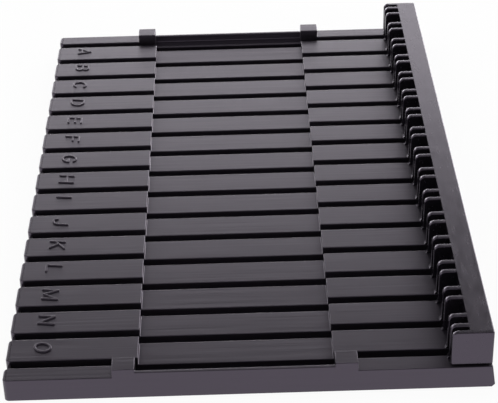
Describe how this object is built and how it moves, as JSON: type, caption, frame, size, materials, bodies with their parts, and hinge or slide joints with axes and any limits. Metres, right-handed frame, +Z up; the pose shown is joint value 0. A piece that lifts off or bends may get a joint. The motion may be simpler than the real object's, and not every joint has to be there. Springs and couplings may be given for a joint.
{
  "type": "slotted card file rack",
  "caption": "Low slotted card file rack: lettered index slats with card slots between them, end rails with stop lugs, and a rear comb of card guides.",
  "frame": {"origin": "centre of the rack's outline on the surface that it rests on", "axes": "+X from the lettered side to the comb, +Y from the O end to the A end, +Z up"},
  "size_m": [0.1254, 0.1932, 0.0166],
  "materials": {
    "slat_plastic": "black moulded plastic, fine satin texture",
    "comb_plastic": "black moulded plastic, satin, slightly smoother than the slats",
    "screw_steel": "zinc-plated steel"
  },
  "bodies": {
    "root": {"floor_panel": "slat_plastic", "slot_stop_rail": "slat_plastic", "rear_rail": "slat_plastic", "near_end_rail": "slat_plastic", "far_end_rail": "slat_plastic", "slat_a": "slat_plastic", "slat_b": "slat_plastic", "slat_c": "slat_plastic", "slat_d": "slat_plastic", "slat_e": "slat_plastic", "slat_f": "slat_plastic", "slat_g": "slat_plastic", "slat_h": "slat_plastic", "slat_i": "slat_plastic", "slat_j": "slat_plastic", "slat_k": "slat_plastic", "slat_l": "slat_plastic", "slat_m": "slat_plastic", "slat_n": "slat_plastic", "slat_o": "slat_plastic", "comb_spine": "comb_plastic", "near_end_plate": "comb_plastic", "far_end_plate": "comb_plastic", "card_guide_01": "comb_plastic", "card_guide_02": "comb_plastic", "card_guide_03": "comb_plastic", "card_guide_04": "comb_plastic", "card_guide_05": "comb_plastic", "card_guide_06": "comb_plastic", "card_guide_07": "comb_plastic", "card_guide_08": "comb_plastic", "card_guide_09": "comb_plastic", "card_guide_10": "comb_plastic", "card_guide_11": "comb_plastic", "card_guide_12": "comb_plastic", "card_guide_13": "comb_plastic", "card_guide_14": "comb_plastic", "card_guide_15": "comb_plastic", "card_guide_16": "comb_plastic", "comb_screws": "screw_steel"}
  },
  "joints": []
}
